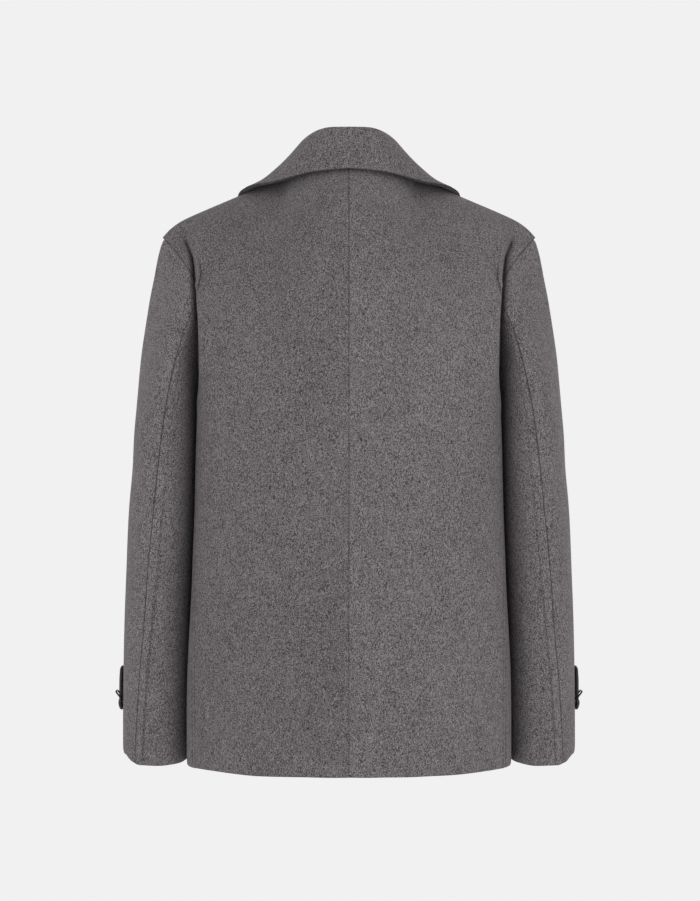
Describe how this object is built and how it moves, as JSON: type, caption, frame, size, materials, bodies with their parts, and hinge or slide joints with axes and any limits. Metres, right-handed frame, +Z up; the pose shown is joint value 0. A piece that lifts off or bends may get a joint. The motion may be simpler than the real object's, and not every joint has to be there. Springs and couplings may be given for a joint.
{
  "type": "pea coat",
  "caption": "Double-breasted wool pea coat with wide turned-down collar, set-in two-piece sleeves and buckled cuff tabs, hollow as when worn.",
  "frame": {"origin": "midway between the two points where the shoulder seams meet the neckline, where the wearer's shoulders hold the coat", "axes": "+Z up, the front faces -Y, +X to the wearer's left"},
  "size_m": [0.5894, 0.2996, 0.7885],
  "materials": {
    "wool": "brushed melange wool, matt with a short nap",
    "button": "dark horn look, satin",
    "leather": "black smooth leather with painted edges",
    "dark_metal": "dark gunmetal, polished"
  },
  "bodies": {
    "root": {"back_left": "wool", "back_right": "wool", "front_left": "wool", "front_right": "wool", "top_sleeve_left": "wool", "top_sleeve_right": "wool", "under_sleeve_left": "wool", "under_sleeve_right": "wool", "collar": "wool", "lapel_left": "wool", "lapel_right": "wool", "pocket_welt_left": "wool", "pocket_welt_right": "wool", "button_1": "button", "button_2": "button", "button_3": "button", "button_4": "button", "button_5": "button", "button_6": "button", "cuff_tab_left": "leather", "cuff_tab_right": "leather", "cuff_loop_left": "leather", "cuff_loop_right": "leather", "cuff_buckle_left": "dark_metal", "cuff_buckle_right": "dark_metal"}
  },
  "joints": []
}
